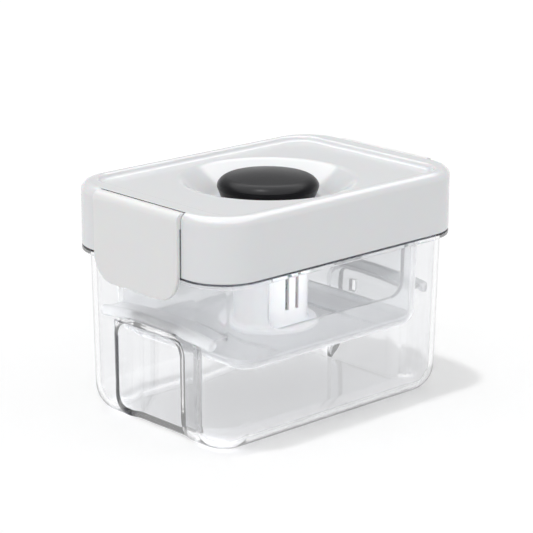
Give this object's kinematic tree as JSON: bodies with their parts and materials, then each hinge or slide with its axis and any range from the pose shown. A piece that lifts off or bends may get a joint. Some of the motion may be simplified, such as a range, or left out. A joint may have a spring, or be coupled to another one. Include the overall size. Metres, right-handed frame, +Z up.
{
  "type": "tofu press",
  "caption": "Clear box with a latched white lid; a spring-loaded plunger drives a press plate down inside a drainer basket.",
  "frame": {"origin": "centre of the flat underside of the container, on the surface it stands on", "axes": "+X along the long side towards one latch, +Y across the short side, +Z up along the plunger"},
  "size_m": [0.1752, 0.1172, 0.12],
  "materials": {
    "clear_plastic": "clear and polished",
    "frosted_plastic": "clear with a light frost",
    "white_gloss_plastic": "smooth, half gloss",
    "white_satin_plastic": "satin",
    "bush_plastic": "waxy",
    "soft_black": "soft, dry",
    "spring_steel": "drawn wire",
    "pin_steel": "plain stainless"
  },
  "bodies": {
    "base": {"outer_container": "clear_plastic", "drainer_basket": "frosted_plastic", "lid_cover": "white_gloss_plastic", "lid_liner": "white_satin_plastic", "spring_bridge": "white_satin_plastic", "guide_bush": "bush_plastic", "press_spring": "spring_steel", "latch_pin_right": "pin_steel", "latch_pin_left": "pin_steel", "liner_screw_1": "pin_steel", "liner_screw_2": "pin_steel", "liner_screw_3": "pin_steel", "liner_screw_4": "pin_steel"},
    "plunger": {"press_plate": "frosted_plastic", "plunger_tube": "white_satin_plastic", "knob_core": "white_satin_plastic", "knob_cap": "soft_black"},
    "right_latch": {"latch_right": "white_gloss_plastic"},
    "left_latch": {"latch_left": "white_gloss_plastic"}
  },
  "joints": [
    {"name": "plunger_slide", "type": "slide", "parent": "base", "child": "plunger", "axis": [0, 0, 1], "range_m": [0, 0.04], "stiffness_N_per_m": 600, "springref_m": -0.02, "deforming": ["press_spring"]},
    {"name": "right_latch_hinge", "type": "hinge", "parent": "base", "child": "right_latch", "pos_m": [0.0836, 0, 0.1156], "axis": [0, -1, 0], "range_deg": [0, 110]},
    {"name": "left_latch_hinge", "type": "hinge", "parent": "base", "child": "left_latch", "pos_m": [-0.0836, 0, 0.1156], "axis": [0, 1, 0], "range_deg": [0, 110]}
  ]
}
